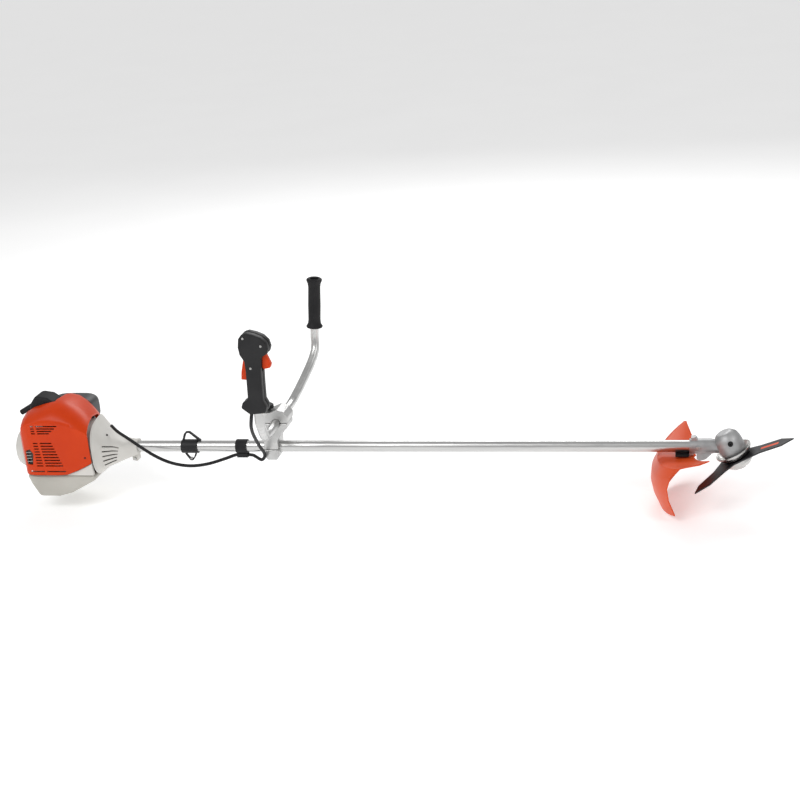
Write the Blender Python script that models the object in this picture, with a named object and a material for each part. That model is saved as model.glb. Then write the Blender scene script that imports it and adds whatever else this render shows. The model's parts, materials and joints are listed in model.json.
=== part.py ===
"""Petrol brush cutter: engine, drive tube, bike handlebar, gear head, deflector and thicket knife.

Lengths are in millimetres and turned into metres by MM where a mesh is made. The machine's own
frame has X along the drive tube towards the knife, Y to the operator's left and Z up. An empty
sets that frame EYE_HEIGHT below the world's origin, which is the top of the carrying eye.
"""

import math

import bmesh
import bpy
from mathutils import Matrix, Vector

MM = 0.001
GAP = 0.3  # between pieces that touch

EYE_HEIGHT = 36.0  # tube axis up to the inside top of the carrying eye
TUBE_RADIUS = 14.0
TUBE_BORE = 12.4
TUBE_START = -165.0
TUBE_END = 1262.0
SHAFT_RADIUS = 4.0

HEAD_X = 1315.0  # where the output axis crosses the tube axis
HEAD_TILT = math.radians(28.0)  # output axis against the vertical
KNIFE_RADIUS = 145.0
KNIFE_TOP = -28.5  # heights along the output axis are counted up from the tube axis
KNIFE_THICKNESS = 3.0
KNIFE_TURN = math.radians(101.0)
OUTPUT_RADIUS = 6.0

BAR_X = 238.0  # handlebar in its clamp
BAR_Z = 70.0
BAR_RADIUS = 11.0
HAND_Y = 255.0  # half the distance between the hands
HANDLE_X = 279.0  # control handle's axis at its foot
HANDLE_Z = 182.0
HANDLE_LEAN = 0.062
GRIP_X = 279.3  # left grip's axis at its foot
GRIP_Z = 227.0
GRIP_LEAN = 0.097

HOOD_NEAR = -95.0
HOOD_FAR = 56.0
CYLINDER_X = -367.0
TANK_TOP = -42.0
WALL = 2.6

ALONG_X = Matrix.Rotation(math.radians(90), 4, "Y")
ALONG_Y = Matrix.Rotation(math.radians(-90), 4, "X")


# ---- shapes: each returns a bmesh in millimetres ----


def ring_points(radius, steps, height=0.0, phase=0.0):
    """Points round a circle about Z."""
    turns = [phase + math.tau * i / steps for i in range(steps)]
    return [Vector((radius * math.cos(t), radius * math.sin(t), height)) for t in turns]


def loft(rings, closed=False):
    """Skin between rings of equally many points, capped at both ends or closed into a loop."""
    mesh = bmesh.new()
    rows = [[mesh.verts.new(point) for point in ring] for ring in rings]
    count = len(rows[0])
    pairs = list(zip(rows, rows[1:]))
    if closed:
        pairs.append((rows[-1], rows[0]))
    else:
        mesh.faces.new(rows[0][::-1])
        mesh.faces.new(rows[-1])
    for low, high in pairs:
        for i in range(count):
            j = (i + 1) % count
            mesh.faces.new((low[i], low[j], high[j], high[i]))
    return mesh


def turned(profile, steps=24, hollow=False):
    """Solid of revolution about Z from (radius, height) points; hollow ones have a through bore."""
    if hollow:
        return loft([ring_points(r, steps, h) for r, h in profile], closed=True)
    mesh = bmesh.new()
    rows = []
    for radius, height in profile:
        if radius == 0:
            rows.append([mesh.verts.new((0, 0, height))] * steps)
        else:
            rows.append([mesh.verts.new(p) for p in ring_points(radius, steps, height)])
    for low, high in zip(rows, rows[1:]):
        for i in range(steps):
            j = (i + 1) % steps
            corners = list(dict.fromkeys((low[i], low[j], high[j], high[i])))
            mesh.faces.new(corners)
    return mesh


def prism(outline, low, high):
    """Outline of (x, z) points drawn out along Y from low to high."""
    return loft([[Vector((x, y, z)) for x, z in outline] for y in (low, high)])


def block(low, high):
    """Box between two corners."""
    (x0, y0, z0), (x1, y1, z1) = low, high
    return prism([(x0, z0), (x1, z0), (x1, z1), (x0, z1)], y0, y1)


def rod(start, end, radius, steps=16):
    """Cylinder between two points."""
    start, end = Vector(start), Vector(end)
    mesh = loft([ring_points(radius, steps, h) for h in (0, (end - start).length)])
    turn = Vector((0, 0, 1)).rotation_difference(end - start).to_matrix().to_4x4()
    mesh.transform(Matrix.Translation(start) @ turn)
    return mesh


def smooth_path(points, per_span):
    """Catmull-Rom curve through the points."""
    points = [Vector(p) for p in points]
    padded = [2 * points[0] - points[1], *points, 2 * points[-1] - points[-2]]
    path = []
    for a, b, c, d in zip(padded, padded[1:], padded[2:], padded[3:]):
        for k in range(per_span):
            t = k / per_span
            path.append(
                0.5 * (2 * b + (c - a) * t + (2 * a - 5 * b + 4 * c - d) * t**2
                       + (3 * b - a - 3 * c + d) * t**3)
            )
    return [*path, points[-1]]


def rings_along(path, radius, steps):
    """Circles square to a path, each turned as little as possible from the one before."""
    tangents = [(b - a).normalized() for a, b in zip([path[0], *path[:-1]], [*path[1:], path[-1]])]
    tangents[0] = (path[1] - path[0]).normalized()
    side = tangents[0].orthogonal().normalized()
    rings = []
    for point, tangent in zip(path, tangents):
        side = (side - side.dot(tangent) * tangent).normalized()
        up = tangent.cross(side)
        turns = [math.tau * i / steps for i in range(steps)]
        rings.append([point + radius * (math.cos(t) * side + math.sin(t) * up) for t in turns])
    return rings


def toothed(teeth, tip, root, bore, thickness, land=0.45):
    """Wheel about Z with square-cut teeth or blades, its lower face at height 0."""
    outer, inner = [], []
    for i in range(teeth):
        for share, radius in ((0, tip), (land, tip), (land + 0.05, root), (0.95, root)):
            turn = math.tau * (i + share) / teeth
            outer.append(Vector((radius * math.cos(turn), radius * math.sin(turn), 0)))
            inner.append(Vector((bore * math.cos(turn), bore * math.sin(turn), 0)))
    lift = Vector((0, 0, thickness))
    rings = [outer, [p + lift for p in outer], [p + lift for p in inner], inner]
    return loft(rings, closed=True)


def rounded(half_y, half_z, centre_z, x, steps=28, power=0.72, centre_y=0.0):
    """Rounded-box section square to X; a lower power gives squarer corners."""
    ring = []
    for i in range(steps):
        turn = math.tau * i / steps
        c, s = math.cos(turn), math.sin(turn)
        y = centre_y + half_y * math.copysign(abs(c) ** power, c)
        z = centre_z + half_z * math.copysign(abs(s) ** power, s)
        ring.append(Vector((x, y, z)))
    return ring


def side_section(centre_x, centre_z, half_x, half_z, y):
    """Rounded-box section square to Y."""
    ring = rounded(half_x, half_z, centre_z, 0, power=0.5)
    return [Vector((centre_x + point.y, y, point.z)) for point in ring]


# ---- objects ----


def clear_scene():
    for obj in list(bpy.data.objects):
        bpy.data.objects.remove(obj, do_unlink=True)


def make_material(name, colour, roughness, metallic=0.0):
    material = bpy.data.materials.new(name)
    material.use_nodes = True
    shader = material.node_tree.nodes["Principled BSDF"]
    shader.inputs["Base Color"].default_value = (*colour, 1)
    shader.inputs["Roughness"].default_value = roughness
    shader.inputs["Metallic"].default_value = metallic
    material.diffuse_color = (*colour, 1)
    return material


def make_empty(name, location, parent=None, tilt=0.0):
    empty = bpy.data.objects.new(name, None)
    bpy.context.scene.collection.objects.link(empty)
    empty.parent = parent
    empty.location = Vector(location) * MM
    empty.rotation_euler = (0, tilt, 0)
    return empty


def add(name, mesh, material, parent, pivot=(0, 0, 0), turn=None):
    """Object from a bmesh in the parent's millimetres, with its origin at the pivot."""
    if turn is not None:
        mesh.transform(turn)
    mesh.transform(Matrix.Translation(-Vector(pivot)))
    mesh.transform(Matrix.Scale(MM, 4))
    bmesh.ops.recalc_face_normals(mesh, faces=mesh.faces)
    data = bpy.data.meshes.new(name)
    mesh.to_mesh(data)
    mesh.free()
    data.materials.append(material)
    data.shade_smooth()
    data.set_sharp_from_angle(angle=math.radians(35))
    obj = bpy.data.objects.new(name, data)
    bpy.context.scene.collection.objects.link(obj)
    obj.parent = parent
    obj.location = Vector(pivot) * MM
    return obj


def combine(obj, mesh, operation, parent, turn=None):
    """Cuts a bmesh from the object, or joins it on."""
    tool = add(f"{obj.name}_{operation.lower()}", mesh, None, parent, turn=turn)
    tool.data.materials.clear()
    tool.hide_render = True
    tool.display_type = "WIRE"
    modifier = obj.modifiers.new(tool.name, "BOOLEAN")
    modifier.operation = operation
    modifier.object = tool
    return tool


def cut(obj, mesh, parent, turn=None):
    return combine(obj, mesh, "DIFFERENCE", parent, turn)


def join(obj, mesh, parent, turn=None):
    return combine(obj, mesh, "UNION", parent, turn)


def soften(obj, width, segments=2):
    """Rounds the sharp edges."""
    bevel = obj.modifiers.new("soften", "BEVEL")
    bevel.width = width * MM
    bevel.segments = segments
    bevel.limit_method = "ANGLE"
    bevel.angle_limit = math.radians(35)
    return obj


# ---- drive tube and drive line ----


def build_drive_line(machine, paint):
    tube = [(TUBE_BORE, TUBE_START), (TUBE_RADIUS, TUBE_START), (TUBE_RADIUS, TUBE_END), (TUBE_BORE, TUBE_END)]
    add("drive_tube", turned(tube, 28, hollow=True), paint["aluminium"], machine, turn=ALONG_X)
    bush_radius = TUBE_BORE - GAP
    bore = SHAFT_RADIUS + GAP
    for place, centre in (("rear", 60.0), ("middle", 520.0), ("front", 980.0)):
        ends = (centre - 12, centre + 12)
        ring = [(bore, ends[0]), (bush_radius, ends[0]), (bush_radius, ends[1]), (bore, ends[1])]
        add(f"shaft_bush_{place}", turned(ring, 16, hollow=True), paint["black"], machine, turn=ALONG_X)
    add("drive_shaft", rod((-247, 0, 0), (HEAD_X - 13, 0, 0), SHAFT_RADIUS, 12), paint["steel"], machine)
    drum = [(bore, -250), (24, -250), (24, -276), (27, -276), (27, -246.5), (10, -246), (10, -226), (bore, -226)]
    add("clutch_drum", turned(drum, 24, hollow=True), paint["steel"], machine, turn=ALONG_X)


# ---- gear head, knife and deflector ----


def build_gear_housing(machine, head, paint):
    shell = [(0, 39), (13, 39), (20, 36), (28.5, 27), (31.5, 15), (31.5, -8), (29, -15), (26, -18), (0, -18)]
    housing = add("gear_housing", turned(shell, 28), paint["cast"], head)
    neck = [(0, TUBE_END - 40), (18, TUBE_END - 40), (18.5, TUBE_END + 6), (16.5, TUBE_END + 16), (17, HEAD_X - 12), (0, HEAD_X - 12)]
    join(housing, turned(neck, 24), machine, ALONG_X)
    lug = [(1238, -8), (1238, -27), (1244, -32), (1258, -28), (1271, -16), (1271, -8)]
    join(housing, prism(lug, -13, 13), machine)
    top_lug = [(1226, 10), (1226, 23), (1236, 25), (1246, 10)]
    join(housing, prism(top_lug, -8, 8), machine)
    cavity = [(0, 30), (13, 30), (26, 20), (26, -11), (14.3, -11), (14.3, -30), (0, -30)]
    cut(housing, turned(cavity, 24), head)
    bore = [(0, TUBE_END - 60), (TUBE_RADIUS + GAP, TUBE_END - 60), (TUBE_RADIUS + GAP, TUBE_END + 0.5),
            (11.3, TUBE_END + 0.5), (11.3, HEAD_X - 12), (0, HEAD_X - 12)]
    cut(housing, turned(bore, 24), machine, ALONG_X)
    cut(housing, rod((HEAD_X - 2, -50, 17), (HEAD_X - 2, -25, 17), 6.3, 16), machine)
    plug = add("grease_plug", rod((HEAD_X - 2, -33, 17), (HEAD_X - 2, -26, 17), 5.9, 12), paint["black"], machine)
    cut(plug, rod((HEAD_X - 2, -36, 17), (HEAD_X - 2, -29, 17), 3.0, 6), machine)


def build_gears(machine, head, paint):
    bearing = [(OUTPUT_RADIUS + GAP, -17.6), (14.0, -17.6), (14.0, -11.3), (OUTPUT_RADIUS + GAP, -11.3)]
    add("output_bearing", turned(bearing, 20, hollow=True), paint["steel"], head)
    bearing = [(SHAFT_RADIUS + GAP, 1264), (11.0, 1264), (11.0, 1273), (SHAFT_RADIUS + GAP, 1273)]
    add("input_bearing", turned(bearing, 20, hollow=True), paint["steel"], machine, turn=ALONG_X)
    shaft = [(0, 24), (5, 24), (OUTPUT_RADIUS, 23), (OUTPUT_RADIUS, -57), (5, -58), (0, -58)]
    add("output_shaft", turned(shaft, 16), paint["steel"], head)
    crown = toothed(14, 24.0, 20.5, OUTPUT_RADIUS + GAP, 7.0)
    add("crown_gear", crown, paint["steel"], head, turn=Matrix.Translation((0, 0, -9.5)))
    teeth = toothed(10, 9.7, 7.4, SHAFT_RADIUS + GAP, 6.5)
    add("pinion_gear", teeth, paint["steel"], machine, turn=Matrix.Translation((HEAD_X - 20.5, 0, 0)) @ ALONG_X)


def knife_mesh():
    """Three pointed arms round a hub with a centring bore."""
    arm = [(37.0, 37), (62.0, 17), (112.0, 9.2), (KNIFE_RADIUS, 0.0), (118.0, -8.0), (66.0, -16.0),
           (45.7, -35.3), (39.3, -50.1), (36.6, -65.8)]
    outline, bore = [], []
    for i in range(3):
        base = KNIFE_TURN - math.tau * i / 3
        for k, (radius, degrees) in enumerate(arm):
            turn = base + math.radians(degrees)
            outline.append(Vector((radius * math.cos(turn), radius * math.sin(turn), 0)))
            turn = base + math.radians(38) - math.tau / 3 * k / len(arm)
            bore.append(Vector((12.7 * math.cos(turn), 12.7 * math.sin(turn), 0)))
    down = Vector((0, 0, -KNIFE_THICKNESS))
    top = Vector((0, 0, KNIFE_TOP))
    rings = [outline, [p + down for p in outline], [p + down for p in bore], bore]
    return loft([[p + top for p in ring] for ring in rings], closed=True)


def build_cutting_tool(head, paint):
    bore = OUTPUT_RADIUS + GAP
    seat = KNIFE_TOP + GAP
    plate = [(bore, -19.5), (27, -19.5), (32, -18), (40, -11), (43, -11), (43, -14.5), (34, -25), (28, seat),
             (12.4, seat), (12.4, KNIFE_TOP - 2.6), (bore, KNIFE_TOP - 2.6)]
    add("thrust_plate", turned(plate, 28, hollow=True), paint["bright"], head)
    add("cutting_knife", knife_mesh(), paint["knife"], head)
    under = KNIFE_TOP - KNIFE_THICKNESS - GAP
    cup = [(bore, under - 19), (25, under - 19), (36, under - 8), (36, under), (33, under), (33, under - 7),
           (24, under - 16), (bore, under - 16)]
    add("rider_plate", turned(cup, 28, hollow=True), paint["bright"], head)
    nut_top = under - 19 - GAP
    nut = [ring_points(r, 6, nut_top - drop) for r, drop in ((11, 0), (11, 7), (7.4, 7), (7.4, 0))]
    add("knife_nut", loft(nut, closed=True), paint["steel"], head)


DEFLECTOR_RIBS = (  # radius, heights at the near and far end, near and far end's turn in degrees
    (84, 17, 21, 56, 28), (118, 30, 41, 56, 46), (148, 46, 59, 54, 57), (160, 50, 58, 48, 57), (182, 40, 41, 42, 57),
    (197, 18, 18, 38, 57), (205, -10, -10, 36, 57), (208, -50, -50, 34.5, 57),
)


def deflector_section(share):
    """Section of the guard at a share of the way from its near end to its far end."""
    outside = []
    for radius, near_height, far_height, near, far in DEFLECTOR_RIBS:
        turn = math.radians(-near + (near + far) * share)
        outside.append((radius, near_height + (far_height - near_height) * share, turn))
    section = list(outside)
    for i in reversed(range(len(outside))):
        radius, height, turn = outside[i]
        before, after = outside[max(i - 1, 0)], outside[min(i + 1, len(outside) - 1)]
        along = Vector((after[0] - before[0], after[1] - before[1])).normalized()
        section.append((radius + 3.0 * along[1], height - 3.0 * along[0], turn))
    return [Vector((-r * math.cos(t), r * math.sin(t), h)) for r, h, t in section]


def build_deflector(machine, head, paint):
    """Curved guard behind the knife: a roof under the tube that bends down into a skirt."""
    rings = [deflector_section(step / 16) for step in range(17)]
    add("deflector", loft(rings), paint["orange_clear"], head)
    bracket = [(1190, -14.6), (1190, -18), (1219, -18), (1221.6, -14.6)]
    plate = add("deflector_strap", prism(bracket, -24, 24), paint["black"], machine)
    cut(plate, rod((1190, 0, 0), (1232, 0, 0), TUBE_RADIUS + GAP, 24), machine)


# ---- handlebar and controls ----


def handle_axis(z):
    return HANDLE_X + (z - HANDLE_Z) * HANDLE_LEAN


def grip_axis(z):
    return GRIP_X + (z - GRIP_Z) * GRIP_LEAN


def bar_path():
    """Centre line of the handlebar from the control handle to the left grip."""
    right = [(handle_axis(z), -HAND_Y, z) for z in (262, 224, 186, 174)]
    right += [(275, -246, 157), (265, -209, 130), (249, -152, 91), (BAR_X, -106, BAR_Z)]
    left = [(BAR_X, 106, BAR_Z), (249, 152, 92), (267, 212, 134), (277, 246, 168)]
    left += [(grip_axis(z), HAND_Y, z) for z in (200, 221, 285, 348)]
    centre = [(BAR_X, -40, BAR_Z), (BAR_X, 40, BAR_Z)]
    return smooth_path([*right, *centre, *left], 2)


def build_handlebar(machine, paint):
    pivot = (BAR_X, 0, BAR_Z)
    path = bar_path()
    outer = rings_along(path, BAR_RADIUS, 14)
    inner = rings_along(path, BAR_RADIUS - 2, 14)
    add("handlebar", loft([*outer, *inner[::-1]], closed=True), paint["aluminium"], machine, pivot)
    grip = [(BAR_RADIUS + GAP, 0), (20.5, 0), (21.5, 3), (17, 10), (15.8, 20), (16.2, 58), (15.6, 107), (17, 117),
            (20, 124), (20, 128), (16, 131), (BAR_RADIUS + GAP, 129)]
    start, end = (Vector((grip_axis(z), HAND_Y, z)) for z in (GRIP_Z, GRIP_Z + 121))
    lean = Vector((0, 0, 1)).rotation_difference(end - start).to_matrix().to_4x4()
    add("left_grip", turned(grip, 20, hollow=True), paint["rubber"], machine, pivot, Matrix.Translation(start) @ lean)


HANDLE_OUTLINE = ((-16, 187), (18, 190), (23, 198), (22, 208), (16, 220), (15, 262), (15, 290), (18, 322), (31, 329),
                  (34, 341), (30, 355), (18, 367), (2, 374), (-14, 378), (-26, 375), (-34, 364), (-36, 345),
                  (-33, 328), (-23, 312), (-21, 290), (-20, 224), (-33, 215), (-37, 203))


def handle_half(name, side, machine, pivot, paint):
    """One half of the control handle: side is -1 for the right half and 1 for the left half."""
    outline = [(handle_axis(z) + dx, z) for dx, z in HANDLE_OUTLINE]
    depth = 17.0
    split = 0.15
    low, high = sorted((-HAND_Y + side * split, -HAND_Y + side * depth))
    half = add(name, prism(outline, low, high), paint["black"], machine, pivot)
    soften(half, 4.0, 2)
    ends = [(handle_axis(z), -HAND_Y, z) for z in (150, 264)]
    bore = rod(*ends, BAR_RADIUS + GAP + 0.4, 16)
    cut(half, bore, machine)
    room = [(dx * 0.62 + handle_axis(z), z) for dx, z in ((14, 267), (16, 318), (32, 336), (34, 346), (16, 360),
                                                         (-21, 368), (-32, 360), (-32, 336), (-18, 310), (-18, 267))]
    cut(half, prism(room, -HAND_Y - 12, -HAND_Y + 12), machine)
    cut(half, prism([(handle_axis(310) + x, z) for x, z in ((5, 286), (60, 286), (60, 333), (5, 328))],
                    -HAND_Y - 6.6, -HAND_Y + 6.6), machine)
    cut(half, prism([(handle_axis(290) + x, z) for x, z in ((-60, 262), (-11, 262), (-11, 320), (-60, 320))],
                    -HAND_Y - 5.6, -HAND_Y + 5.6), machine)
    return half


def build_controls(machine, paint):
    pivot = (BAR_X, 0, BAR_Z)
    handle_half("control_handle_right", -1, machine, pivot, paint)
    handle_half("control_handle_left", 1, machine, pivot, paint)
    trigger = [(303, 326), (308, 328), (313, 326), (322, 302), (319, 294), (304, 291), (301, 296)]
    soften(add("throttle_trigger", prism(trigger, -HAND_Y - 6, -HAND_Y + 6), paint["orange"], machine, (306, -HAND_Y, 323)), 1.5)
    lockout = [(259, 314), (265, 317), (269, 312), (268, 274), (262, 266), (249, 267), (251, 284)]
    soften(add("throttle_lockout", prism(lockout, -HAND_Y - 5, -HAND_Y + 5), paint["orange"], machine, (264, -HAND_Y, 311)), 1.2)
    slide_y = -HAND_Y + 17 + GAP
    slide = block((274, slide_y, 336), (296, slide_y + 4, 348))
    soften(add("stop_slide", slide, paint["orange"], machine, (285, slide_y, 342)), 1.0, 1)


def build_bar_clamp(machine, paint):
    body = [(200, GAP), (236, GAP), (237, 24), (250, 44), (266, 58), (266, BAR_Z - GAP), (208, BAR_Z - GAP), (203, 44)]
    bracket = add("handle_bracket", prism(body, -27, 27), paint["clamp"], machine)
    soften(bracket, 3.0)
    cut(bracket, rod((150, 0, 0), (290, 0, 0), TUBE_RADIUS + GAP, 24), machine)
    cut(bracket, rod((BAR_X, -60, BAR_Z), (BAR_X, 60, BAR_Z), BAR_RADIUS + GAP, 24), machine)
    foot = [(200, -GAP), (236, -GAP), (236, -17), (230, -27), (206, -27), (200, -17)]
    clamp_foot = add("tube_clamp_foot", prism(foot, -27, 27), paint["clamp"], machine)
    soften(clamp_foot, 3.0)
    cut(clamp_foot, rod((150, 0, 0), (290, 0, 0), TUBE_RADIUS + GAP, 24), machine)
    cap = [(208, BAR_Z + GAP), (268, BAR_Z + GAP), (270, 84), (261, 99), (243, 105), (224, 97), (208, 96)]
    clamp_cap = add("handle_clamp_cap", prism(cap, -27, 27), paint["clamp"], machine)
    soften(clamp_cap, 3.0)
    cut(clamp_cap, rod((BAR_X, -60, BAR_Z), (BAR_X, 60, BAR_Z), BAR_RADIUS + GAP, 24), machine)
    knob_x = 216.0
    base = 97.0
    knob = turned([(0, base), (5, base), (5, base + 3), (13, base + 4), (13, base + 13), (9, base + 16), (0, base + 16)], 16)
    add("clamp_knob", knob, paint["black"], machine, (knob_x, 0, base), Matrix.Translation((knob_x, 0, 0)))


def build_tube_fittings(machine, paint):
    outer = [(-27, 0), (-20, 15), (-13, 34), (-7, 40), (3, 40), (30, 17), (24, 4), (10, -28), (2, -38), (-5, -38), (-14, -24)]
    inner = [(-22, 2), (-14, 18), (-8, 33), (-4, EYE_HEIGHT), (1, EYE_HEIGHT), (22, 17), (19, 2), (6, -28), (1, -33), (-3, -33), (-10, -24)]
    rings = [[Vector((x, y, z)) for x, z in outline] for outline, y in ((outer, -3), (outer, 3), (inner, 3), (inner, -3))]
    eye = add("carrying_eye", loft(rings, closed=True), paint["black"], machine)
    band = [(TUBE_RADIUS + GAP, -21), (17.5, -21), (17.5, 21), (TUBE_RADIUS + GAP, 21)]
    join(eye, turned(band, 20, hollow=True), machine, ALONG_X)
    cut(eye, rod((-60, 0, 0), (60, 0, 0), TUBE_RADIUS + GAP, 20), machine)
    add("carrying_eye_screw", rod((0, -6.5, -30.5), (0, -3 - GAP, -30.5), 3.5, 6), paint["steel"], machine)
    clip = [(TUBE_RADIUS + GAP, 122), (17.5, 122), (17.5, 150), (TUBE_RADIUS + GAP, 150)]
    holder = add("cable_clip", turned(clip, 20, hollow=True), paint["rubber"], machine, turn=ALONG_X)
    join(holder, prism([(122, -16), (150, -16), (150, -27), (122, -27)], -10, 6), machine)
    cut(holder, rod((110, -4, -21.5), (160, -4, -21.5), CABLE_RADIUS + 1.4, 12), machine)
    cut(holder, rod((110, 0, 0), (160, 0, 0), TUBE_RADIUS + GAP, 20), machine)


CABLE_RADIUS = 4.0
CABLE_ROUTE = (
    (262, -255, 186), (256, -247, 168), (246, -226, 142), (232, -182, 108), (218, -126, 68), (210, -80, 30),
    (206, -46, 2), (203, -37, -13), (192, -30, -24), (172, -10, -25), (160, -5, -22), (136, -4, -21.5),
    (118, -4, -22), (90, -13, -29), (52, -25, -37), (14, -32, -40), (-20, -36, -36), (-52, -40, -25),
    (-82, -43, -8), (-108, -43, 10), (-134, -38, 26), (-158, -30, 38), (-182, -18, 47), (-203, -3, 57),
)


def build_cable(machine, paint):
    """Throttle cable and stop wire in one sleeve, from the control handle to the engine."""
    curve = bpy.data.curves.new("control_cable", "CURVE")
    curve.dimensions = "3D"
    curve.bevel_depth = CABLE_RADIUS * MM
    curve.bevel_resolution = 2
    curve.use_fill_caps = True
    path = smooth_path(CABLE_ROUTE, 3)
    spline = curve.splines.new("POLY")
    spline.points.add(len(path) - 1)
    for point, place in zip(spline.points, path):
        point.co = (*(place * MM), 1)
    curve.materials.append(paint["rubber"])
    cable = bpy.data.objects.new("control_cable", curve)
    bpy.context.scene.collection.objects.link(cable)
    cable.parent = machine


# ---- engine ----


def hood_section(x, near, shoulder, top, fall, bottom, lean, inset=0.0):
    """Open roof section from the right-hand wall's foot over the top to the left wall."""
    near, far, top, shoulder = near + inset, HOOD_FAR - inset, top - inset, shoulder - inset * 0.4
    rise = top - shoulder
    points = [(near, bottom), (near, shoulder), (near + 6, shoulder + rise * 0.28), (near + 20, top - rise * 0.36),
              (near + 42, top - rise * 0.1), (near + 66, top), (far - 32, top - fall * 0.4), (far - 9, top - fall),
              (far, top - fall - 16), (far, top - fall - 34)]
    return [Vector((x - lean * (y - near), y, z)) for y, z in points]


HOOD_STATIONS = (  # x, right-hand wall, shoulder, top, fall to the left, bottom, lean back
    (-414, -80, 66, 98, 16, -40, 0.0), (-405, -90, 84, 112, 14, -40, 0.0), (-386, -95, 97, 122, 12, -40, 0.0),
    (-350, -95, 99, 133, 12, -40, 0.0), (-322, -95, 98, 139, 12, -40, 0.0), (-296, -95, 95, 134, 12, -38, 0.03),
    (-270, -94, 88, 122, 14, -28, 0.08), (-248, -93, 79, 108, 18, -18, 0.13), (-236, -92, 72, 98, 22, -12, 0.15),
    (-230.4, -91, 67, 92, 25, -9, 0.16),
)


def build_hood(machine, paint):
    rings = []
    for station in HOOD_STATIONS:
        outside = hood_section(*station)
        inside = hood_section(*station, inset=WALL)
        rings.append([*outside, *inside[::-1]])
    hood = add("engine_hood", loft(rings), paint["orange"], machine)
    pocket = [(-470, 98), (-403, 98), (-398, 106), (-334, 106), (-328, 112), (-322, 190), (-470, 190)]
    cut(hood, prism(pocket, -38, 70), machine)
    cut(hood, rod((CYLINDER_X, 0, 60), (CYLINDER_X, 0, 130), 14, 20), machine)
    cut(hood, vent_slots(), machine)
    outlet = [(-402, -12), (-386, -12), (-380, 18), (-388, 30), (-402, 24)]
    cut(hood, prism(outlet, HOOD_NEAR - 20, HOOD_NEAR + 20), machine)
    return hood


def vent_slots():
    """Rows of cooling slots in the hood's right wall, each broken by an upright rib."""
    slots = bmesh.new()
    rows = [(91 - 6.4 * i, -376, -304 - 8 * i) for i in range(4)]
    rows += [(46 - 7.6 * i, -376, -326 + 2.6 * i) for i in range(9)]
    rows += [(-30, -396, -300)]
    for z, start, end in rows:
        rib = -352 - (z - 15) * 0.08 - 6
        for x0, x1 in ((start, rib - 3), (rib + 3, end)):
            slot = block((x0, HOOD_NEAR - 20, z - 1.7), (x1, HOOD_NEAR + 20, z + 1.7))
            data = bpy.data.meshes.new("slot")
            slot.to_mesh(data)
            slot.free()
            slots.from_mesh(data)
            bpy.data.meshes.remove(data)
    return slots


def housing_ring(x, half_y, half_z, centre_z, centre_y, lean):
    """Section of the fan housing, leaning back towards the left like the hood's front edge."""
    ring = rounded(half_y, half_z, centre_z, 0, power=0.66, centre_y=centre_y)
    leans = [lean * (p.y + 90) * min(max((p.z + 25) / 50, 0), 1) for p in ring]
    return [Vector((x - back, p.y, p.z)) for back, p in zip(leans, ring)]


def build_fan_housing(machine, paint):
    """Front casing that narrows from the engine to the drive tube."""
    stations = [(-288, 60, 54, 20, -17, 0.03), (-229.6, 60, 52, 20, -17, 0.16), (-226, 82, 66, 11, -9, 0.16),
                (-210, 61, 45, 2, -5, 0.1), (-190, 42, 34, -4, 0, 0.04), (-172, 30, 25, -6, 0, 0),
                (-150, 21, 20, -3, 0, 0), (-138, 18.5, 18.5, 0, 0, 0)]
    outside = [housing_ring(*station) for station in stations]
    inside = [housing_ring(x + shift, y - WALL, z - WALL, up, side, lean)
              for (x, y, z, up, side, lean), shift in zip(stations[:5], (0, 2.6, 2.4, 0, 0))]
    inside += [rounded(TUBE_RADIUS + GAP, TUBE_RADIUS + GAP, 0, x, power=1.0) for x in (-172, -138)]
    housing = add("fan_housing", loft([*outside[1:], *inside[1:][::-1]], closed=True), paint["white"], machine)
    drum = [housing_ring(-288, 60, 54, 20, -17, 0.03), housing_ring(-229.6 - GAP, 60, 52, 20, -17, 0.16)]
    bore = [housing_ring(-288, 60 - WALL, 54 - WALL, 20, -17, 0.03),
            housing_ring(-229.6 - GAP, 60 - WALL, 52 - WALL, 20, -17, 0.16)]
    add("fan_housing_rear", loft([*drum, *bore[::-1]], closed=True), paint["white"], machine)
    slots = bmesh.new()
    for i in range(5):
        left, right = 23 - 12.5 * i, 8 - 7.7 * i
        slot = [(-211, left - 1.8), (-179 - 2 * i, right - 1.5), (-179 - 2 * i, right + 1.5), (-211, left + 1.8)]
        slot = prism(slot, -90, -25)
        data = bpy.data.meshes.new("slot")
        slot.to_mesh(data)
        slot.free()
        slots.from_mesh(data)
        bpy.data.meshes.remove(data)
    cut(housing, slots, machine)
    lug = prism([(-158, -12), (-141, -12), (-141, -34), (-146, -38), (-158, -36)], -7, 7)
    join(housing, lug, machine)
    cut(housing, rod((-230, 0, 0), (-120, 0, 0), TUBE_RADIUS + GAP, 24), machine)
    add("tube_clamp_screw", rod((-150, -10.5, -31.5), (-150, -7 - GAP, -31.5), 3.8, 6), paint["steel"], machine)


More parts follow.
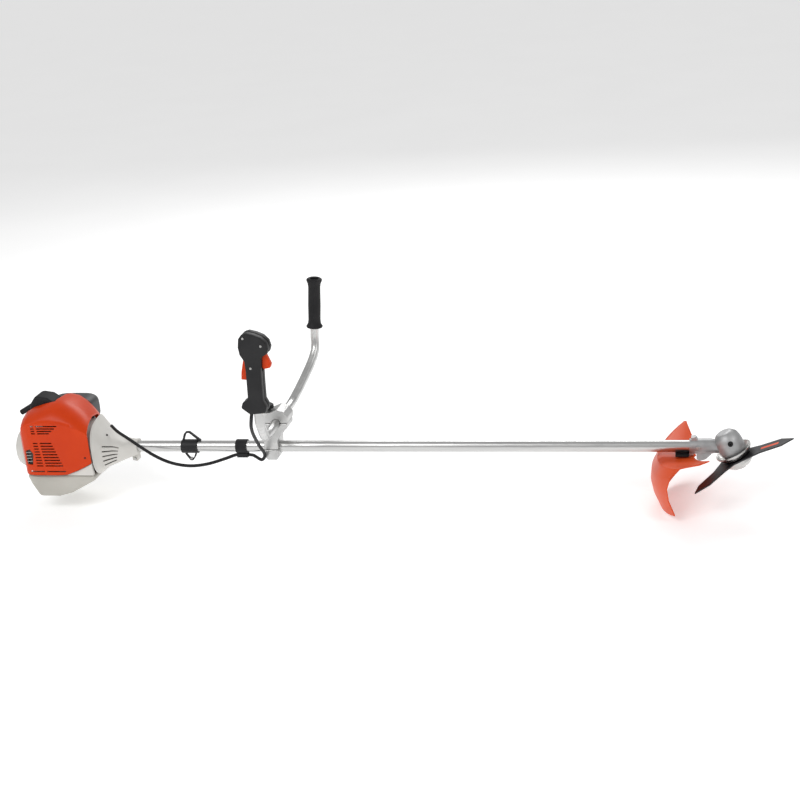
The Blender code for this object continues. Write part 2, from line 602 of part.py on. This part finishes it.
def build_starter(machine, paint):
    dome = [(0, -465), (30, -462), (46, -453), (54, -438), (56, -424), (52.4, -424), (50.6, -437), (43.4, -450),
            (29, -458.5), (5, -459), (5, -441), (0, -441)]
    housing = add("starter_housing", turned(dome, 28), paint["white"], machine, turn=ALONG_X)
    flange = [rounded(64, 55, 4, x) for x in (-427, -420)]
    flange += [rounded(46, 46, 0, x, power=1.0) for x in (-420, -427)]
    join(housing, loft(flange, closed=True), machine)
    cut(housing, rod((-447, 30, 0), (-447, 80, 0), 3.0, 12), machine)
    pulley = [(5 + GAP, -452), (34, -452), (35, -451), (27, -449), (27, -445), (35, -443), (35, -442), (5 + GAP, -442)]
    add("starter_pulley", turned(pulley, 24, hollow=True), paint["black"], machine, turn=ALONG_X)
    grip = add("starter_grip", rod((-447, 62, -22), (-447, 62, 22), 8.0, 14), paint["black"], machine, (-447, 58, 0))
    soften(grip, 3.0)
    join(grip, rod((-447, 43, 0), (-447, 60, 0), 2.0, 10), machine)


def build_fuel_tank(machine, paint):
    outline = [(-414, TANK_TOP - 1), (-406, -68), (-388, -103), (-334, -103), (-300, -94), (-230, -58),
               (-230, TANK_TOP - 1)]
    tank = add("fuel_tank", prism(outline, -86, 86), paint["white"], machine)
    soften(tank, 14.0, 3)
    room = [(-404, -51), (-396, -72), (-380, -92), (-336, -94), (-303, -85), (-250, -58), (-250, -51)]
    soften(cut(tank, prism(room, -77, 77), machine), 10.0, 2)
    cut(tank, rod((-352, 70, -72), (-352, 100, -72), 15, 20), machine)
    cap = [(0, 0), (14.4, 0), (14.4, 16), (19, 16.5), (20, 19), (20, 26), (17, 29), (0, 29)]
    place = Matrix.Translation((-352, 70.3, -72)) @ ALONG_Y
    fuel_cap = add("fuel_cap", turned(cap, 20), paint["black"], machine, (-352, 86, -72), place)
    cut(fuel_cap, block((-366, 95, -75), (-338, 104, -69)), machine)


def build_engine_core(machine, paint):
    case = [(8.4, -412), (37, -412), (40, -408), (40, -336), (37, -331), (8.4, -331), (8.4, -337), (33, -341),
            (33, -402), (8.4, -406)]
    add("crankcase", turned(case, 24, hollow=True), paint["cast"], machine, turn=ALONG_X)
    crank = [(0, -438), (6, -438), (6, -414), (8, -414), (8, -384), (28, -384), (28, -350), (8, -350), (8, -320),
             (6, -320), (6, -252), (0, -252)]
    add("crankshaft", turned(crank, 20), paint["steel"], machine, turn=ALONG_X)
    fins = []
    for i in range(5):
        low = 50 + 8 * i
        fins += [(24, low), (36, low), (36, low + 3), (24, low + 3)]
    barrel = [(17, 40.6), (26, 40.6), (26, 46), *fins, (24, 92), (16, 96), (5.2, 96), (5.2, 86), (17, 80)]
    add("cylinder", turned(barrel, 20, hollow=True), paint["cast"], machine, turn=Matrix.Translation((CYLINDER_X, 0, 0)))
    plug = [(0, 84), (4.9, 84), (4.9, 96.3), (8.5, 96.3), (8.5, 103), (5, 103), (4.5, 120), (0, 120)]
    add("spark_plug", turned(plug, 12), paint["steel"], machine, turn=Matrix.Translation((CYLINDER_X, 0, 0)))
    wheel = toothed(14, 40, 30, 6.3, 18, land=0.25)
    add("flywheel", wheel, paint["cast"], machine, turn=Matrix.Translation((-318, 0, 0)) @ ALONG_X)
    soften(add("ignition_module", block((-316, -20, 47), (-300, 20, 66)), paint["black"], machine), 2.0)
    shoes = add("clutch_shoes", turned([(6.3, -273), (23.2, -273), (23.2, -256), (6.3, -256)], 24, hollow=True),
                paint["cast"], machine, turn=ALONG_X)
    cut(shoes, block((-280, -1.5, 11), (-250, 1.5, 30)), machine)
    cut(shoes, block((-280, -1.5, -30), (-250, 1.5, -11)), machine)
    silencer = add("muffler", block((-404, -88, -26), (-338, -46, 74)), paint["hot_steel"], machine)
    soften(silencer, 9.0, 2)
    cut(silencer, rod((-399, -100, 2), (-399, -70, 2), 6, 14), machine)


def build_spark_plug_boot(machine, paint):
    outline = [(-404, 108), (-400, 126), (-383, 148), (-352, 143), (-331, 128), (-338, 108)]
    boot = add("spark_plug_boot", prism(outline, -35, 20), paint["rubber"], machine)
    soften(boot, 8.0, 3)
    join(boot, rod((-392, -10, 122), (-438, -10, 97), 7.0, 14), machine)
    cut(boot, rod((CYLINDER_X, 0, 90), (CYLINDER_X, 0, 128), 9.2, 16), machine)


def build_intake(machine, paint):
    carburettor = add("carburettor", block((-388, 61, 54), (-352, 82, 88)), paint["cast"], machine)
    soften(carburettor, 2.0, 1)
    cut(carburettor, rod((-370, 40, 71), (-370, 100, 71), 8.0, 16), machine)
    lever = prism([(-351.6, 60), (-351.6, 82), (-348.6, 82), (-348.6, 60)], 70, 76)
    add("throttle_lever", lever, paint["steel"], machine, (-350, 73, 64))
    cleaner = add("air_filter", block((-342, 64, 46), (-290, 96, 98)), paint["felt"], machine)
    soften(cleaner, 3.0, 2)
    steps = [(56, 33, 108.5), (57, 34, HOOD_FAR + 2), (60, 37, HOOD_FAR + 2), (60, 37, 98), (57, 34, 107), (51, 29, 112)]
    rings = [side_section(-336, 72, half_x, half_z, y) for half_x, half_z, y in steps]
    cover = add("filter_cover", loft(rings), paint["grey"], machine)
    cut(cover, rod((-337, 90, 75), (-337, 130, 75), 3.6, 14), machine)
    cut(cover, rod((-300, 90, 56), (-300, 130, 56), 9.7, 16), machine)
    knob = [(0, 0), (3.2, 0), (3.2, 7), (14, 7.3), (14, 15), (11, 18), (0, 18)]
    place = Matrix.Translation((-337, 105, 75)) @ ALONG_Y
    add("filter_cover_knob", turned(knob, 18), paint["black"], machine, (-337, 112, 75), place)
    lever = [(-396.3, 58), (-403, 58), (-403, 66), (-396.3, 66)]
    choke = add("choke_lever", prism(lever, 70, 100), paint["black"], machine, (-399.6, 74, 62))
    soften(choke, 1.5, 1)
    bulb = [(0, 0), (9, 0), (9, 4), (7, 9), (3, 12), (0, 12)]
    place = Matrix.Translation((-300, 112.3, 56)) @ ALONG_Y
    add("primer_bulb", turned(bulb, 16), paint["clear_rubber"], machine, (-300, 112.3, 56), place)


def make_paint():
    return {
        "orange": make_material("orange_plastic", (0.83, 0.13, 0.02), 0.38),
        "orange_clear": make_material("deflector_plastic", (0.80, 0.16, 0.05), 0.42),
        "white": make_material("light_grey_plastic", (0.72, 0.70, 0.66), 0.42),
        "grey": make_material("dark_grey_plastic", (0.06, 0.06, 0.06), 0.45),
        "black": make_material("black_plastic", (0.02, 0.02, 0.02), 0.5),
        "rubber": make_material("black_rubber", (0.018, 0.018, 0.018), 0.65),
        "clear_rubber": make_material("primer_rubber", (0.25, 0.25, 0.24), 0.3),
        "felt": make_material("filter_felt", (0.75, 0.72, 0.62), 0.95),
        "aluminium": make_material("tube_aluminium", (0.72, 0.70, 0.67), 0.28, 1.0),
        "clamp": make_material("clamp_aluminium", (0.74, 0.73, 0.72), 0.55, 0.4),
        "cast": make_material("cast_aluminium", (0.52, 0.51, 0.50), 0.45, 0.9),
        "bright": make_material("bright_steel", (0.62, 0.62, 0.62), 0.25, 1.0),
        "steel": make_material("plain_steel", (0.45, 0.45, 0.45), 0.35, 1.0),
        "hot_steel": make_material("muffler_steel", (0.22, 0.20, 0.18), 0.55, 0.9),
        "knife": make_material("painted_knife_steel", (0.025, 0.027, 0.028), 0.4),
    }


def main():
    clear_scene()
    paint = make_paint()
    machine = make_empty("machine", (0, 0, -EYE_HEIGHT))
    head = make_empty("head_axis", (HEAD_X, 0, 0), machine, -HEAD_TILT)
    build_drive_line(machine, paint)
    build_gear_housing(machine, head, paint)
    build_gears(machine, head, paint)
    build_cutting_tool(head, paint)
    build_deflector(machine, head, paint)
    build_handlebar(machine, paint)
    build_controls(machine, paint)
    build_bar_clamp(machine, paint)
    build_tube_fittings(machine, paint)
    build_cable(machine, paint)
    build_hood(machine, paint)
    build_fan_housing(machine, paint)
    build_starter(machine, paint)
    build_fuel_tank(machine, paint)
    build_engine_core(machine, paint)
    build_spark_plug_boot(machine, paint)
    build_intake(machine, paint)
    bpy.context.view_layer.update()


main()
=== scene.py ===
"""Looks of the brush cutter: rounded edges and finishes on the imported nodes, and small fittings."""

import bpy
import bmesh
import json
import math
from mathutils import Matrix, Vector

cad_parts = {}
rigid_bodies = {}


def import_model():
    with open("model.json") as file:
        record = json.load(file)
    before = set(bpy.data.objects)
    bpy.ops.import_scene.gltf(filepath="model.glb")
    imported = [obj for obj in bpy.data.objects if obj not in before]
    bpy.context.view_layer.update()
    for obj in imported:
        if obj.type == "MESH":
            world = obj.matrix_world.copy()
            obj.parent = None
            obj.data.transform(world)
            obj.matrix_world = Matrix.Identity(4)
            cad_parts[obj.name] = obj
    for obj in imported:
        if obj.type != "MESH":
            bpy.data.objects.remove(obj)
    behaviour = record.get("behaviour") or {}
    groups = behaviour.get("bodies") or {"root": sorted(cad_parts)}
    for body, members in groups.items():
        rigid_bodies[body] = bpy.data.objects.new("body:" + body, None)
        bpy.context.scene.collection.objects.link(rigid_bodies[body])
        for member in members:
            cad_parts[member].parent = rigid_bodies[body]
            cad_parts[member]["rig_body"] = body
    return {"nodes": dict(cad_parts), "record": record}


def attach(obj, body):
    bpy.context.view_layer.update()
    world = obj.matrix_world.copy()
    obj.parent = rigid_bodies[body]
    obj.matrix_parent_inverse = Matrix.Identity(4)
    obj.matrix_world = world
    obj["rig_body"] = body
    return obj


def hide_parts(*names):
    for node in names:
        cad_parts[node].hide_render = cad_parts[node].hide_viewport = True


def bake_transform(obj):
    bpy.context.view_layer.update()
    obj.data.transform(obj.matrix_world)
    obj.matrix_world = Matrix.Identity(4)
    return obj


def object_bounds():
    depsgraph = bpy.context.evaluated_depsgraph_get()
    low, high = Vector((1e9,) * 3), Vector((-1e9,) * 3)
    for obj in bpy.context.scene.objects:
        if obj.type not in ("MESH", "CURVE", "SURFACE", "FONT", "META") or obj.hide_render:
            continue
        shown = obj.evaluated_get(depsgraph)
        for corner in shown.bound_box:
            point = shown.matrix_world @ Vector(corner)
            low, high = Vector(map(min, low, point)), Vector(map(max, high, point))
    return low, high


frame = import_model()
cad_box = [list(corner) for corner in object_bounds()]
nodes = frame["nodes"]
MM = 0.001
HEAD_X = 1315  # the gear head's axis
HEAD_TILT = math.radians(-28)
KNIFE_TURN = -19  # degrees, of the arm with the painted reflection streak
EYE = 36.0  # the design's origin is the tube's axis under the carrying eye, this far below the eye


def at(x, y, z):
    """A point of the design, in millimetres from the tube's axis, in metres in the frame."""
    return Vector((x, y, z - EYE)) * MM


# ---------------------------------------------------------------- finishes


def new_material(name):
    material = bpy.data.materials.new(name)
    material.use_nodes = True
    tree = material.node_tree
    shader = tree.nodes["Principled BSDF"]
    return material, tree, shader


def link(tree, a, out, b, into):
    tree.links.new(a.outputs[out], b.inputs[into])


def noise(tree, scale, stretch=(1, 1, 1), detail=4.0, rough=0.55):
    """Noise in the piece's own coordinates, in metres, so that it moves with the piece."""
    place = tree.nodes.new("ShaderNodeTexCoord")
    mapping = tree.nodes.new("ShaderNodeMapping")
    mapping.inputs["Scale"].default_value = stretch
    texture = tree.nodes.new("ShaderNodeTexNoise")
    texture.inputs["Scale"].default_value = scale
    texture.inputs["Detail"].default_value = detail
    texture.inputs["Roughness"].default_value = rough
    link(tree, place, "Object", mapping, "Vector")
    link(tree, mapping, "Vector", texture, "Vector")
    return texture


def remap(tree, texture, low, high, start=0.3, end=0.7):
    """The texture's values from start to end, spread from low to high."""
    node = tree.nodes.new("ShaderNodeMapRange")
    node.inputs["From Min"].default_value = start
    node.inputs["From Max"].default_value = end
    node.inputs["To Min"].default_value = low
    node.inputs["To Max"].default_value = high
    link(tree, texture, 0, node, "Value")
    return node


def two_tone(tree, texture, first, second, start=0.35, end=0.65):
    """Colour that drifts between two near tones with the texture."""
    ramp = tree.nodes.new("ShaderNodeValToRGB")
    ramp.color_ramp.elements[0].position = start
    ramp.color_ramp.elements[0].color = (*first, 1)
    ramp.color_ramp.elements[1].position = end
    ramp.color_ramp.elements[1].color = (*second, 1)
    link(tree, texture, 0, ramp, "Fac")
    return ramp


def surface(name, first, second, rough=(0.4, 0.5), metal=0.0, grain=(900, 0.1), patch=12,
            stretch=(1, 1, 1), coat=0.0, clear=0.0, specular=0.5):
    """Finish with slow colour patches, varied roughness and a fine surface grain (scale, depth)."""
    material, tree, shader = new_material(name)
    slow = noise(tree, patch, stretch, 3.0)
    colour = two_tone(tree, slow, first, second)
    link(tree, colour, "Color", shader, "Base Color")
    texture = noise(tree, grain[0], stretch, 3.0, 0.6)
    link(tree, remap(tree, texture, *rough), 0, shader, "Roughness")
    bump = tree.nodes.new("ShaderNodeBump")
    bump.inputs["Strength"].default_value = grain[1]
    bump.inputs["Distance"].default_value = 0.0004
    link(tree, texture, 0, bump, "Height")
    link(tree, bump, "Normal", shader, "Normal")
    shader.inputs["Metallic"].default_value = metal
    shader.inputs["Coat Weight"].default_value = coat
    shader.inputs["Coat Roughness"].default_value = 0.12
    shader.inputs["Specular IOR Level"].default_value = specular
    shader.inputs["Transmission Weight"].default_value = clear
    return material


FINISH = {
    "orange": surface("Orange plastic", (0.56, 0.036, 0.0), (0.62, 0.045, 0.001),
            (0.3, 0.42), grain=(1500, 0.05), patch=9, specular=0.22),
    "orange_clear": surface("Deflector plastic", (0.70, 0.07, 0.01), (0.77, 0.09, 0.016),
            (0.3, 0.42), grain=(900, 0.06), clear=0.08, patch=8, specular=0.22),
    "white": surface("Light grey plastic", (0.60, 0.585, 0.55), (0.66, 0.645, 0.61),
            (0.4, 0.52), grain=(1600, 0.1), patch=14),
    # The fuel tank's finish is the light grey plastic made darker as painted shade.
    "tank": surface("Light grey plastic in painted shade", (0.44, 0.425, 0.38), (0.50, 0.485, 0.44),
            (0.42, 0.55), grain=(1200, 0.12), patch=12),
    "grey": surface("Mid grey plastic", (0.030, 0.031, 0.033), (0.042, 0.043, 0.046),
            (0.42, 0.55), grain=(1400, 0.15), patch=18),
    "black": surface("Black plastic", (0.006, 0.006, 0.007), (0.012, 0.012, 0.013),
            (0.42, 0.6), grain=(1500, 0.22), patch=22, specular=0.35),
    "rubber": surface("Rubber", (0.006, 0.006, 0.007), (0.012, 0.012, 0.013),
            (0.55, 0.72), grain=(1800, 0.3), patch=30, specular=0.3),
    "clear_rubber": surface("Clear rubber", (0.72, 0.70, 0.62), (0.8, 0.78, 0.7),
            (0.2, 0.3), grain=(600, 0.05), clear=0.7),
    "felt": surface("Filter felt", (0.55, 0.52, 0.42), (0.72, 0.68, 0.56),
            (0.85, 0.95), grain=(1200, 0.8), patch=60),
    "aluminium": surface("Drawn aluminium", (0.52, 0.52, 0.515), (0.62, 0.62, 0.61),
            (0.26, 0.4), 1.0, (700, 0.08), 60, (0.04, 1, 1)),
    "clamp": surface("Die-cast clamp", (0.50, 0.50, 0.495), (0.60, 0.60, 0.59),
            (0.34, 0.48), 1.0, (1300, 0.16), 30),
    "cast": surface("Cast alloy", (0.36, 0.362, 0.365), (0.46, 0.462, 0.465),
            (0.4, 0.58), 0.8, (800, 0.4), 40),
    "bright": surface("Turned steel", (0.50, 0.495, 0.48), (0.60, 0.595, 0.58),
            (0.22, 0.34), 1.0, (1500, 0.06), 30),
    "steel": surface("Zinc-plated steel", (0.45, 0.45, 0.44), (0.56, 0.555, 0.54),
            (0.27, 0.4), 1.0, (1500, 0.1), 40),
    "hot_steel": surface("Muffler steel", (0.05, 0.046, 0.043), (0.10, 0.093, 0.086),
            (0.5, 0.7), 0.8, (500, 0.35), 30),
    "knife": surface("Blackened knife steel", (0.022, 0.022, 0.024), (0.04, 0.04, 0.043),
            (0.3, 0.45), 0.5, (900, 0.08), 30, (0.3, 1, 1)),
}


def knife_painted_reflection(material):
    """A plain orange-red streak of painted reflection on the arm that lies to the right at rest."""
    tree = material.node_tree
    shader = tree.nodes["Principled BSDF"]
    base = shader.inputs["Base Color"].links[0].from_socket
    place = tree.nodes.new("ShaderNodeTexCoord")
    axis = Vector((math.sin(HEAD_TILT), 0, math.cos(HEAD_TILT)))
    centre = at(HEAD_X, 0, 0)
    turn = math.radians(KNIFE_TURN)
    out_x = Vector((axis.z, 0, -axis.x))
    along = (out_x * math.cos(turn) + Vector((0, 1, 0)) * math.sin(turn)).normalized()
    across = axis.cross(along)

    def measure(direction, low, high, soft):
        dot = tree.nodes.new("ShaderNodeVectorMath")
        dot.operation = "DOT_PRODUCT"
        dot.inputs[1].default_value = direction
        link(tree, place, "Object", dot, 0)
        middle = (low + high) / 2 * MM + centre.dot(direction)
        shift = tree.nodes.new("ShaderNodeMath")
        shift.operation = "SUBTRACT"
        shift.inputs[1].default_value = middle
        link(tree, dot, "Value", shift, 0)
        size = tree.nodes.new("ShaderNodeMath")
        size.operation = "ABSOLUTE"
        link(tree, shift, 0, size, 0)
        return remap(tree, size, 1.0, 0.0, (high - low) / 2 * MM - soft * MM, (high - low) / 2 * MM)

    # Where the painted reflection lies: a strip along the arm, soft at its edges.
    reflection_masks = [measure(along, 62, 108, 1.0), measure(across, -4.5, 4.5, 0.6)]
    both = tree.nodes.new("ShaderNodeMath")
    both.operation = "MULTIPLY"
    link(tree, reflection_masks[0], 0, both, 0)
    link(tree, reflection_masks[1], 0, both, 1)
    # The painted reflection's orange-red, mixed over the knife's own colour.
    mix = tree.nodes.new("ShaderNodeMixRGB")
    mix.inputs["Color2"].default_value = (0.72, 0.09, 0.03, 1)
    link(tree, both, 0, mix, "Fac")
    tree.links.new(base, mix.inputs["Color1"])
    link(tree, mix, "Color", shader, "Base Color")


knife_painted_reflection(FINISH["knife"])

# ---------------------------------------------------------------- carried-over nodes

SLOT_OF = {part["node"]: part["material_slot"] for part in frame["record"]["subparts"]}

# Rounding of the outer edges in millimetres, where the moulded or machined part shows one.
EDGE = {
    "engine_hood": 0.9, "fan_housing": 0.7, "fan_housing_rear": 0.4, "starter_housing": 0.7,
    "filter_cover": 0.8, "fuel_tank": 0.0, "gear_housing": 1.2, "deflector": 0.8,
    "deflector_strap": 0.6, "control_handle_left": 1.2, "control_handle_right": 1.2,
    "left_grip": 0.6, "handle_bracket": 0.8, "tube_clamp_foot": 0.6, "handle_clamp_cap": 0.6,
    "clamp_knob": 0.6, "carrying_eye": 0.4, "throttle_trigger": 1.0, "throttle_lockout": 1.0,
    "stop_slide": 0.6, "thrust_plate": 0.4, "rider_plate": 0.4, "knife_nut": 0.5,
    "cutting_knife": 0.25, "fuel_cap": 0.8, "starter_grip": 0.6, "muffler": 1.0, "cylinder": 0.4,
    "cable_clip": 0.5, "filter_cover_knob": 0.6, "spark_plug_boot": 0.8, "choke_lever": 0.4,
}
SHARP = math.radians(38)


def finished(name):
    """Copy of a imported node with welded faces, smooth shading and rounded edges."""
    source = nodes[name]
    data = source.data.copy()
    mesh = bmesh.new()
    mesh.from_mesh(data)
    bmesh.ops.remove_doubles(mesh, verts=mesh.verts, dist=2e-6)
    bmesh.ops.dissolve_limit(mesh, angle_limit=math.radians(0.6), verts=mesh.verts, edges=mesh.edges)
    for face in mesh.faces:
        face.smooth = True
    for edge in mesh.edges:
        edge.smooth = len(edge.link_faces) == 2 and edge.calc_face_angle(0) < SHARP
    mesh.to_mesh(data)
    mesh.free()
    data.materials.clear()
    # The fuel tank takes the darker copy of the light grey plastic, which is painted shade.
    data.materials.append(FINISH["tank" if name == "fuel_tank" else SLOT_OF[name]])
    for polygon in data.polygons:
        polygon.material_index = 0
    piece = bpy.data.objects.new(name + "_finished", data)
    bpy.context.scene.collection.objects.link(piece)
    if EDGE.get(name):
        bevel = piece.modifiers.new("Rounded edges", "BEVEL")
        bevel.width = EDGE[name] * MM
        bevel.segments = 2
        bevel.limit_method = "ANGLE"
        bevel.angle_limit = SHARP
        bevel.harden_normals = False
        bevel.miter_outer = "MITER_SHARP"
    weighted = piece.modifiers.new("Face normals", "WEIGHTED_NORMAL")
    weighted.keep_sharp = True
    weighted.weight = 60
    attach(piece, source["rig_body"])
    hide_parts(name)
    return piece


for name in sorted(nodes):
    if name != "control_cable":
        finished(name)

# ---------------------------------------------------------------- small fittings


def piece_of(name, mesh, finish, body, smooth=True):
    """Object from a mesh, riding on a body when one is given."""
    bmesh.ops.recalc_face_normals(mesh, faces=mesh.faces)
    data = bpy.data.meshes.new(name)
    mesh.to_mesh(data)
    mesh.free()
    data.materials.append(FINISH[finish])
    for polygon in data.polygons:
        polygon.use_smooth = smooth
    piece = bpy.data.objects.new(name, data)
    bpy.context.scene.collection.objects.link(piece)
    if body:
        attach(piece, body)
    return piece


def lathe(profile, steps, place):
    """Solid of revolution about the local Z from (radius, height) points, closed on the axis."""
    mesh = bmesh.new()
    rows = []
    for radius, height in profile:
        if radius == 0:
            rows.append([mesh.verts.new((0, 0, height * MM))] * steps)
        else:
            ring = [math.tau * i / steps for i in range(steps)]
            rows.append([mesh.verts.new((radius * MM * math.cos(a), radius * MM * math.sin(a), height * MM))
                         for a in ring])
    for low, high in zip(rows, rows[1:]):
        for i in range(steps):
            j = (i + 1) % steps
            corners = []
            for vertex in (low[i], low[j], high[j], high[i]):
                if vertex not in corners:
                    corners.append(vertex)
            if len(corners) > 2:
                mesh.faces.new(corners)
    mesh.transform(place)
    return mesh


def facing(point, direction):
    """Placement at a point of the design with the local Z along a direction."""
    turn = Vector((0, 0, 1)).rotation_difference(Vector(direction).normalized())
    return Matrix.Translation(at(*point)) @ turn.to_matrix().to_4x4()


def screw(name, point, direction, radius, body, finish="steel"):
    """Round-headed screw with a round socket, sunk slightly into its seat."""
    r = radius
    head = [(0, -1.2), (r, -1.2), (r, 0.5), (r * 0.86, 1.1), (r * 0.5, 1.3), (r * 0.46, 1.25),
            (r * 0.42, 0.0), (0, 0)]
    return piece_of(name, lathe(head, 18, facing(point, direction)), finish, body)


for number, (x, z) in enumerate(((307, 348), (278, 297), (268, 366))):
    screw(f"handle_screw_{number}", (x, -272.2, z), (0, -1, 0), 2.7, "handlebar_body")
for number, y in enumerate((-20.5, 20.5)):
    screw(f"neck_clamp_screw_{number}", (1241, y, 3), (0, math.copysign(1, y), 0), 4.0, "frame")


def plate(name, outline, near, far, finish, body):
    """Flat piece with an (x, z) outline in the design's millimetres, between two widths."""
    mesh = bmesh.new()
    front = [mesh.verts.new(at(x, near, z)) for x, z in outline]
    back = [mesh.verts.new(at(x, far, z)) for x, z in outline]
    mesh.faces.new(front)
    mesh.faces.new(back[::-1])
    for i in range(len(outline)):
        j = (i + 1) % len(outline)
        mesh.faces.new((front[j], front[i], back[i], back[j]))
    piece = piece_of(name, mesh, finish, body, smooth=False)
    bevel = piece.modifiers.new("Rounded edges", "BEVEL")
    bevel.width = 0.5 * MM
    bevel.segments = 2
    return piece


# The tank's side wall rises to the hood's lower edge in front of the engine.
shoulder = [(-304, -42.6), (-296, -39.6), (-270, -29.8), (-248, -19.8), (-236, -13.6), (-231, -11),
            (-231, -42.6)]
plate("tank_shoulder", shoulder, -89.5, -80, "white", "frame")
for i in range(4):
    plate(f"muffler_outlet_bar_{i}", [(-400, -4 + 8 * i), (-386, -3 + 8 * i), (-386, -1.4 + 8 * i),
                                      (-400, -2.4 + 8 * i)], -94, -91.5, "steel", "frame")
screw("hood_screw_front", (-244, -92.6, 6), (0, -1, 0), 2.6, "frame", "black")
screw("cone_screw", (-199, -44.0, 48), (0.35, -0.75, 0.5), 2.4, "frame", "black")

# ---------------------------------------------------------------- throttle cable and starter rope

CABLE_ROUTE = (
    (262, -255, 186), (256, -247, 168), (246, -226, 142), (232, -182, 108), (218, -126, 68), (210, -80, 30),
    (206, -46, 2), (203, -37, -13), (192, -30, -24), (172, -10, -25), (160, -5, -22), (136, -4, -21.5),
    (118, -4, -22), (90, -13, -29), (52, -25, -37), (14, -32, -40), (-20, -36, -36), (-52, -40, -25),
    (-82, -43, -8), (-108, -43, 10), (-134, -38, 26), (-158, -30, 38), (-182, -18, 47), (-203, -3, 57),
)


def smooth_path(points, per_span):
    """Catmull-Rom curve through the points."""
    points = [Vector(p) for p in points]
    ends = [2 * points[0] - points[1], *points, 2 * points[-1] - points[-2]]
    path = []
    for a, b, c, d in zip(ends, ends[1:], ends[2:], ends[3:]):
        for k in range(per_span):
            t = k / per_span
            path.append(0.5 * (2 * b + (c - a) * t + (2 * a - 5 * b + 4 * c - d) * t * t
                               + (3 * b - a - 3 * c + d) * t ** 3))
    path.append(points[-1])
    return path


def tube(path, radius, sides=14):
    """Closed round tube along a path in metres, with a frame carried along it without twist."""
    mesh = bmesh.new()
    rows, normal = [], None
    for i, point in enumerate(path):
        ahead = (path[min(i + 1, len(path) - 1)] - path[max(i - 1, 0)]).normalized()
        if normal is None:
            normal = ahead.orthogonal()
        normal = (normal - normal.dot(ahead) * ahead).normalized()
        side = ahead.cross(normal)
        size = radius(i / (len(path) - 1)) if callable(radius) else radius
        rows.append([mesh.verts.new(point + size * (normal * math.cos(a) + side * math.sin(a)))
                     for a in (math.tau * k / sides for k in range(sides))])
    for low, high in zip(rows, rows[1:]):
        for k in range(sides):
            mesh.faces.new((low[k], low[(k + 1) % sides], high[(k + 1) % sides], high[k]))
    mesh.faces.new(rows[0][::-1])
    mesh.faces.new(rows[-1])
    return mesh


cable_path = [at(*p) for p in smooth_path(CABLE_ROUTE, 8)]
cable = piece_of("throttle_cable", tube(cable_path, 4.0 * MM), "rubber", None)
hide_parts("control_cable")
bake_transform(cable)

rope_path = [at(-447, 30 + i * 1.75, 0) for i in range(9)]
rope = piece_of("starter_rope", tube(rope_path, 1.6 * MM, 10), "black", None)
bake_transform(rope)

# ---------------------------------------------------------------- floor, light and camera


def stage_mesh(name, corners, material):
    data = bpy.data.meshes.new(name)
    data.from_pydata(corners, [], [tuple(range(len(corners)))])
    data.materials.append(material)
    piece = bpy.data.objects.new(name, data)
    bpy.context.scene.collection.objects.link(piece)
    return piece


low = cad_box[0][2] - 0.001
paper = surface("Paper floor", (0.93, 0.93, 0.93), (0.95, 0.95, 0.95), (0.8, 0.9), grain=(300, 0.02), patch=2)
paper_shader = paper.node_tree.nodes["Principled BSDF"]
paper_shader.inputs["Emission Color"].default_value = (1, 1, 1, 1)
paper_shader.inputs["Emission Strength"].default_value = 0.28
stage_mesh("Floor", [(-60, -60, low), (60, -60, low), (60, 60, low), (-60, 60, low)], paper)

world = bpy.data.worlds.new("Studio")
bpy.context.scene.world = world
world.use_nodes = True
world.node_tree.nodes["Background"].inputs["Color"].default_value = (1, 1, 1, 1)
world.node_tree.nodes["Background"].inputs["Strength"].default_value = 0.5


def soft_light(name, place, target, size, power):
    """Rectangular area light aimed at a target."""
    data = bpy.data.lights.new(name, "AREA")
    data.shape = "RECTANGLE"
    data.size, data.size_y = size
    data.energy = power
    lamp = bpy.data.objects.new(name, data)
    bpy.context.scene.collection.objects.link(lamp)
    lamp.location = place
    lamp.rotation_euler = (Vector(target) - Vector(place)).to_track_quat("-Z", "Y").to_euler()


soft_light("Key", (-1.2, -2.6, 3.0), (0.4, 0, 0), (2.4, 1.6), 62)
soft_light("Fill", (3.4, -1.6, 2.0), (0.7, 0, 0), (1.6, 1.6), 18)
soft_light("Back", (0.6, 3.0, 2.4), (0.5, 0, 0), (2.6, 1.2), 55)

RIGHT = Vector((0.97812, 0.19215, -0.07974))
LOOK = Vector((-0.20791, 0.91620, -0.34255)).normalized()
RIGHT = (RIGHT - RIGHT.dot(LOOK) * LOOK).normalized()
camera_data = bpy.data.cameras.new("Camera")
camera_data.lens = 59.4
camera_data.sensor_width = 36
camera_data.clip_end = 100
camera = bpy.data.objects.new("Camera", camera_data)
bpy.context.scene.collection.objects.link(camera)
placement = Matrix((RIGHT, RIGHT.cross(LOOK), -LOOK)).transposed().to_4x4()
placement.translation = Vector((1.20267, -2.89280, 1.16463))
camera.matrix_world = placement
bpy.context.scene.camera = camera
bpy.context.scene.view_settings.view_transform = "Standard"

bpy.context.view_layer.update()
